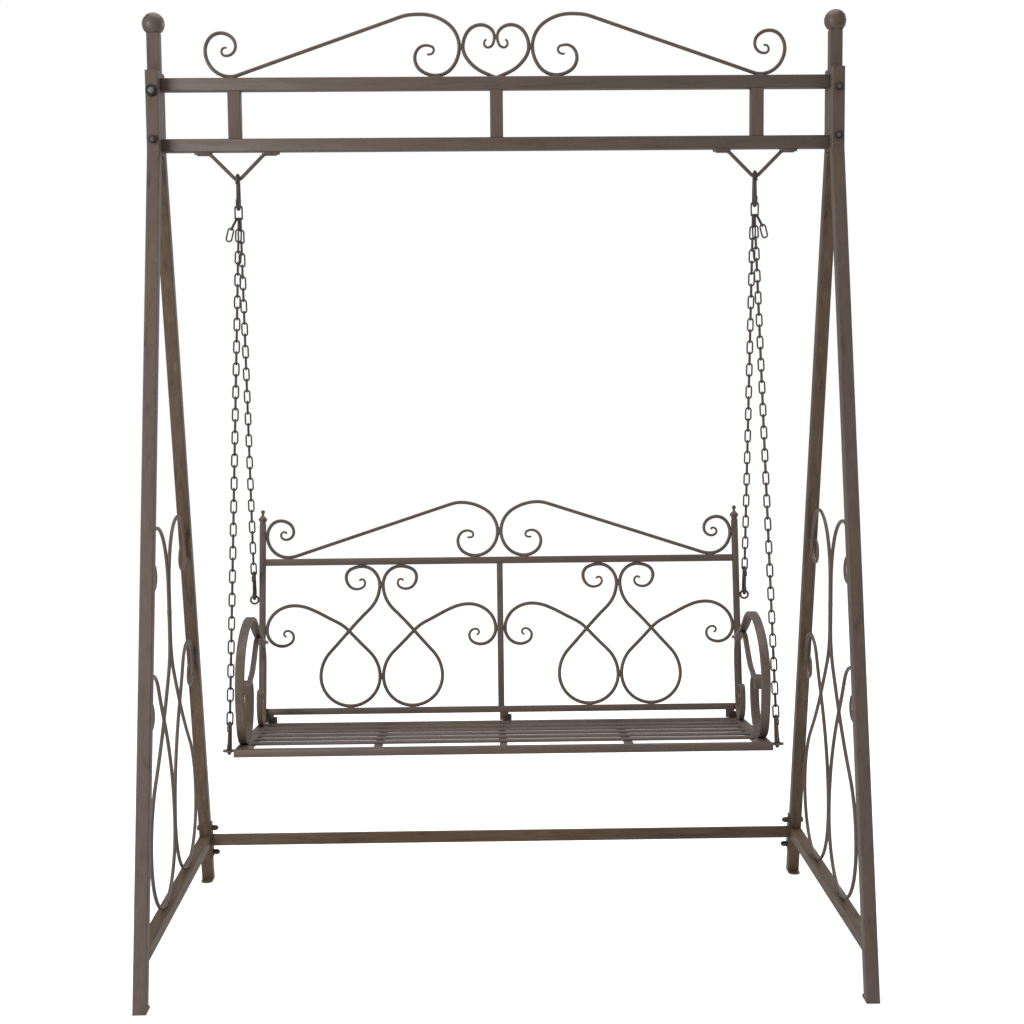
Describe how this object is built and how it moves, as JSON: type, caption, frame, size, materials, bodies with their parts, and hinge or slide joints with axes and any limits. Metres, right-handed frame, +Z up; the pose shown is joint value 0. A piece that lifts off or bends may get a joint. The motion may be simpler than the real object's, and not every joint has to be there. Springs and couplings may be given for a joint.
{
  "type": "garden swing",
  "caption": "Wrought iron garden swing: a scrolled two-seat bench on chains, hung with snap hooks under the beam of a bolted A-frame stand with scrolled sides, crest and heart.",
  "frame": {"origin": "on the floor under the middle of the stand", "axes": "+X to the right seen from the front, -Y towards the front of the seat, +Z up"},
  "size_m": [1.5249, 0.9174, 2.05],
  "materials": {
    "iron_paint": "antique brown-grey paint, brushed dark over warm edges",
    "chain_steel": "dull zinc-plated chain",
    "hook_steel": "plated snap hooks",
    "fastener_steel": "dull plated bolts and nuts"
  },
  "bodies": {
    "stand": {"ball_finials": "iron_paint", "beam_spacers": "iron_paint", "chain_hangers": "iron_paint", "foot_plates": "iron_paint", "heart_scrolls": "iron_paint", "left_crest_scroll": "iron_paint", "left_front_leg": "iron_paint", "left_front_side_scroll": "iron_paint", "left_lower_rail": "iron_paint", "left_post": "iron_paint", "left_rear_leg": "iron_paint", "left_rear_side_scroll": "iron_paint", "lower_beam": "iron_paint", "post_bolts": "fastener_steel", "rear_stretcher": "iron_paint", "right_crest_scroll": "iron_paint", "right_front_leg": "iron_paint", "right_front_side_scroll": "iron_paint", "right_lower_rail": "iron_paint", "right_post": "iron_paint", "right_rear_leg": "iron_paint", "right_rear_side_scroll": "iron_paint", "stretcher_bolts": "fastener_steel", "stretcher_flanges": "iron_paint", "upper_beam": "iron_paint"},
    "swing": {"back_bottom_rail": "iron_paint", "back_centre_stile": "iron_paint", "back_lugs": "iron_paint", "back_post_finials": "iron_paint", "back_top_rail": "iron_paint", "chain_eyes": "iron_paint", "left_arm": "iron_paint", "left_arm_scroll": "iron_paint", "left_back_crest": "iron_paint", "left_back_post": "iron_paint", "left_back_scrolls": "iron_paint", "left_front_chain": "chain_steel", "left_rear_chain": "chain_steel", "lug_bolts": "fastener_steel", "right_arm": "iron_paint", "right_arm_scroll": "iron_paint", "right_back_crest": "iron_paint", "right_back_post": "iron_paint", "right_back_scrolls": "iron_paint", "right_front_chain": "chain_steel", "right_rear_chain": "chain_steel", "seat_cross_bars": "iron_paint", "seat_front_rail": "iron_paint", "seat_left_rail": "iron_paint", "seat_lugs": "iron_paint", "seat_rear_rail": "iron_paint", "seat_right_rail": "iron_paint", "seat_slats": "iron_paint", "snap_hooks": "hook_steel"},
    "left_front_hook_gate": {"left_front_hook_gate": "hook_steel"},
    "left_rear_hook_gate": {"left_rear_hook_gate": "hook_steel"},
    "left_top_hook_gate": {"left_top_hook_gate": "hook_steel"},
    "right_front_hook_gate": {"right_front_hook_gate": "hook_steel"},
    "right_rear_hook_gate": {"right_rear_hook_gate": "hook_steel"},
    "right_top_hook_gate": {"right_top_hook_gate": "hook_steel"}
  },
  "joints": [
    {"name": "swing", "type": "hinge", "parent": "stand", "child": "swing", "pos_m": [0, 0, 1.694], "axis": [1, 0, 0], "range_deg": [-25, 25]},
    {"name": "left_front_hook_opening", "type": "hinge", "parent": "swing", "child": "left_front_hook_gate", "pos_m": [-0.57141, -0.27541, 0.537], "axis": [1, 0, -0.0069], "range_deg": [0, 25], "stiffness_Nm_per_rad": 0.01, "springref_deg": -20.05},
    {"name": "left_rear_hook_opening", "type": "hinge", "parent": "swing", "child": "left_rear_hook_gate", "pos_m": [-0.5708, 0.16129, 0.79282], "axis": [0.9999, 0, -0.0131], "range_deg": [0, 25], "stiffness_Nm_per_rad": 0.01, "springref_deg": -20.05},
    {"name": "left_top_hook_opening", "type": "hinge", "parent": "swing", "child": "left_top_hook_gate", "pos_m": [-0.564, -0.00937, 1.68612], "axis": [1, 0, 0], "range_deg": [0, 25], "stiffness_Nm_per_rad": 0.01, "springref_deg": -20.05},
    {"name": "right_front_hook_opening", "type": "hinge", "parent": "swing", "child": "right_front_hook_gate", "pos_m": [0.57141, -0.27541, 0.537], "axis": [1, 0, 0.0069], "range_deg": [0, 25], "stiffness_Nm_per_rad": 0.01, "springref_deg": -20.05},
    {"name": "right_rear_hook_opening", "type": "hinge", "parent": "swing", "child": "right_rear_hook_gate", "pos_m": [0.5708, 0.16129, 0.79282], "axis": [0.9999, 0, 0.0131], "range_deg": [0, 25], "stiffness_Nm_per_rad": 0.01, "springref_deg": -20.05},
    {"name": "right_top_hook_opening", "type": "hinge", "parent": "swing", "child": "right_top_hook_gate", "pos_m": [0.564, -0.00937, 1.68612], "axis": [1, 0, 0], "range_deg": [0, 25], "stiffness_Nm_per_rad": 0.01, "springref_deg": -20.05}
  ]
}
